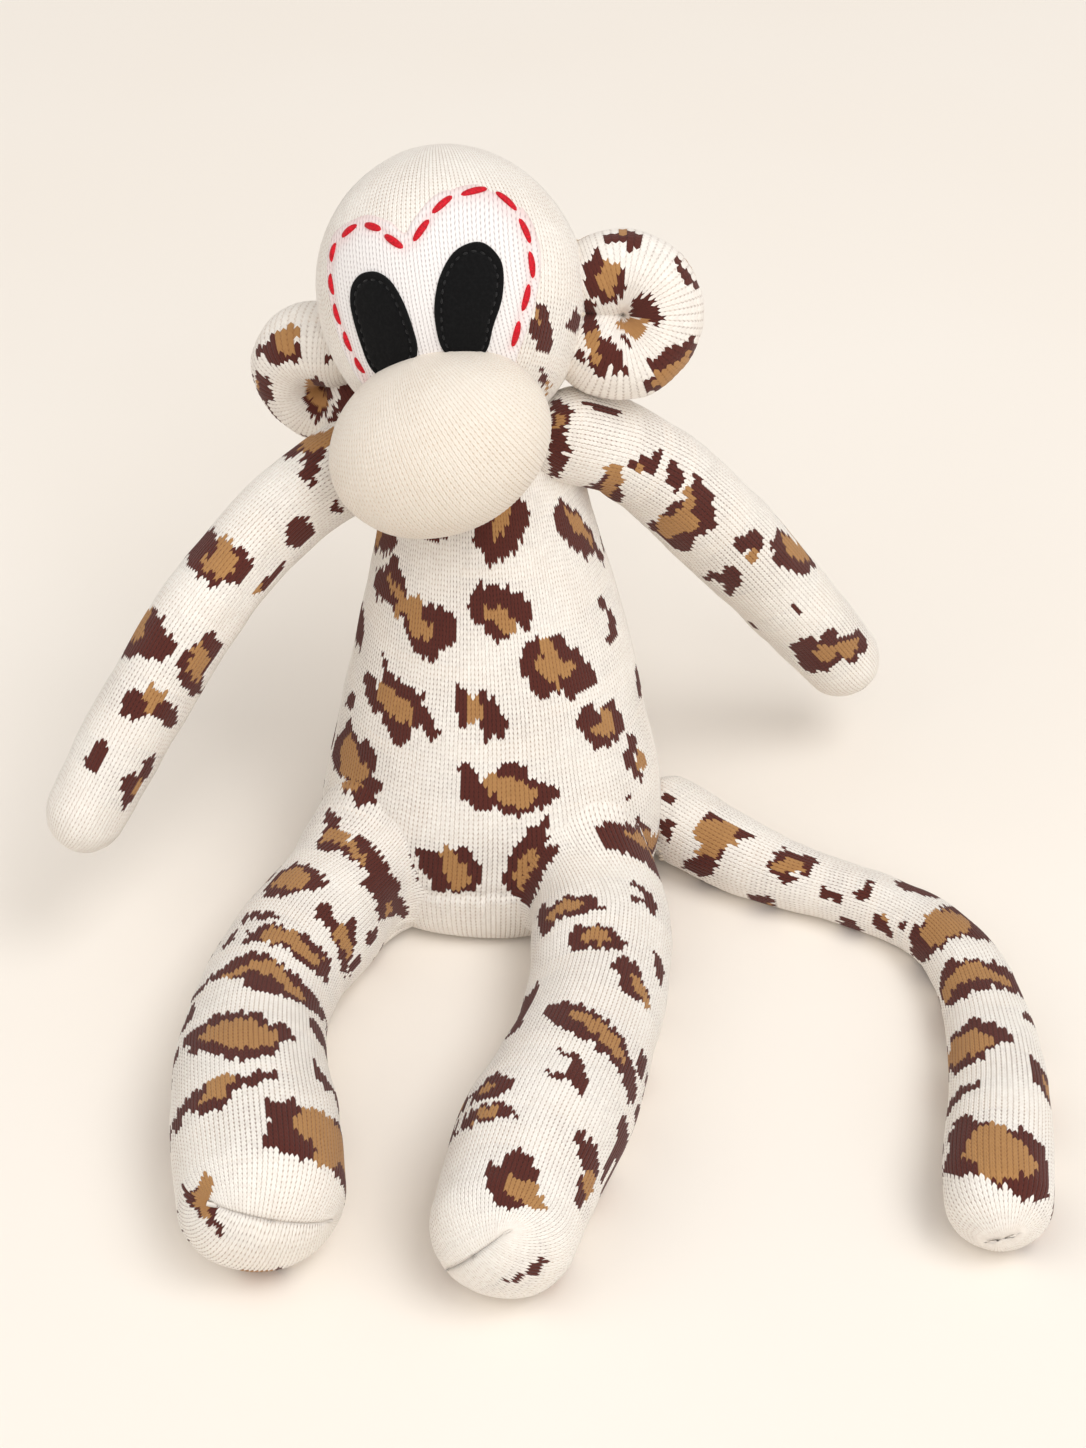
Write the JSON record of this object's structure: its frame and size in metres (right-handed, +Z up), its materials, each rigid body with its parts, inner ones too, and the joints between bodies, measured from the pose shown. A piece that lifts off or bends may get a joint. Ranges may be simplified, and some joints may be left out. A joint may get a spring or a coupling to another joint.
{
  "type": "sock monkey doll",
  "caption": "Stuffed monkey doll sewn from leopard-spotted knit socks, sitting with long limbs and tail, felt eyes, a plump plain muzzle and curled ears.",
  "frame": {"origin": "on the floor, in the middle of the flat underside that the doll sits on", "axes": "+Z up, -Y the way the doll faces, +X towards the doll's own left hand"},
  "size_m": [0.3493, 0.328, 0.2679],
  "materials": {
    "leopard_knit": "matte, cream with brown and tan leopard spots",
    "muzzle_knit": "matte, plain warm cream",
    "patch_knit": "matte, plain off-white",
    "black_felt": "matte",
    "red_thread": "matte",
    "cream_thread": "matte",
    "stuffing": "fluffy"
  },
  "bodies": {
    "torso": {"torso_sock": "leopard_knit", "torso_stuffing": "stuffing", "leg_left_thread": "cream_thread", "leg_right_thread": "cream_thread"},
    "neck": {"neck_thread": "cream_thread"},
    "head": {"head_sock": "leopard_knit", "head_stuffing": "stuffing", "face_patch": "patch_knit", "face_patch_stitching": "red_thread", "eye_left": "black_felt", "eye_right": "black_felt", "muzzle_sock": "muzzle_knit", "muzzle_stuffing": "stuffing", "muzzle_thread": "cream_thread", "ear_left_thread": "cream_thread", "ear_right_thread": "cream_thread"},
    "ear_left": {"ear_left_sock": "leopard_knit", "ear_left_stuffing": "stuffing"},
    "ear_right": {"ear_right_sock": "leopard_knit", "ear_right_stuffing": "stuffing"},
    "arm_left_seam": {"arm_left_thread": "cream_thread"},
    "arm_right_seam": {"arm_right_thread": "cream_thread"},
    "arm_left": {"arm_left_sock": "leopard_knit", "arm_left_stuffing": "stuffing"},
    "arm_right": {"arm_right_sock": "leopard_knit", "arm_right_stuffing": "stuffing"},
    "leg_left": {"leg_left_sock": "leopard_knit", "leg_left_stuffing": "stuffing"},
    "leg_right": {"leg_right_sock": "leopard_knit", "leg_right_stuffing": "stuffing"},
    "tail_seam": {"tail_thread": "cream_thread"},
    "tail": {"tail_sock": "leopard_knit", "tail_stuffing": "stuffing"}
  },
  "joints": [
    {"name": "head_turn", "type": "hinge", "parent": "torso", "child": "neck", "pos_m": [-0.01017, 0.04571, 0.20635], "axis": [0.2371, 0.009, -0.9714], "range_deg": [-8, 12]},
    {"name": "head_nod", "type": "hinge", "parent": "neck", "child": "head", "pos_m": [-0.01017, 0.04571, 0.20635], "axis": [-0.9671, 0.119, -0.225], "range_deg": [-3, 12]},
    {"name": "ear_left_fold", "type": "hinge", "parent": "head", "child": "ear_left", "pos_m": [0.04095, 0.04406, 0.21044], "axis": [-0.065, -0.4229, -0.9038], "range_deg": [-20, 20]},
    {"name": "ear_right_fold", "type": "hinge", "parent": "head", "child": "ear_right", "pos_m": [-0.05147, 0.0612, 0.18188], "axis": [-0.4359, -0.075, 0.8969], "range_deg": [-20, 20]},
    {"name": "arm_left_swing", "type": "hinge", "parent": "torso", "child": "arm_left_seam", "pos_m": [0.04449, 0.03735, 0.16264], "axis": [-0.9501, 0.043, -0.309], "range_deg": [-40, 90]},
    {"name": "arm_left_raise", "type": "hinge", "parent": "arm_left_seam", "child": "arm_left", "pos_m": [0.04449, 0.03735, 0.16264], "axis": [-0.041, -0.9991, -0.013], "range_deg": [-8, 50]},
    {"name": "arm_right_swing", "type": "hinge", "parent": "torso", "child": "arm_right_seam", "pos_m": [-0.05073, 0.02897, 0.15289], "axis": [-0.9543, -0.149, 0.2591], "range_deg": [-40, 72]},
    {"name": "arm_right_raise", "type": "hinge", "parent": "arm_right_seam", "child": "arm_right", "pos_m": [-0.05073, 0.02897, 0.15289], "axis": [-0.144, 0.9888, 0.039], "range_deg": [-13, 50]},
    {"name": "leg_left_swing", "type": "hinge", "parent": "torso", "child": "leg_left", "pos_m": [0.03846, -0.06704, 0.0235], "axis": [-0.9737, 0.2279, 0], "range_deg": [-45, 50]},
    {"name": "leg_right_swing", "type": "hinge", "parent": "torso", "child": "leg_right", "pos_m": [-0.05406, -0.058, 0.0235], "axis": [-0.9918, 0.128, 0], "range_deg": [-45, 50]},
    {"name": "tail_lift", "type": "hinge", "parent": "torso", "child": "tail_seam", "pos_m": [0.07591, -0.00701, 0.0135], "axis": [-0.9986, 0.053, 0], "range_deg": [-30, 60]},
    {"name": "tail_swing", "type": "hinge", "parent": "tail_seam", "child": "tail", "pos_m": [0.07591, -0.00701, 0.0135], "axis": [0, 0, 1], "range_deg": [-15, 60]}
  ]
}
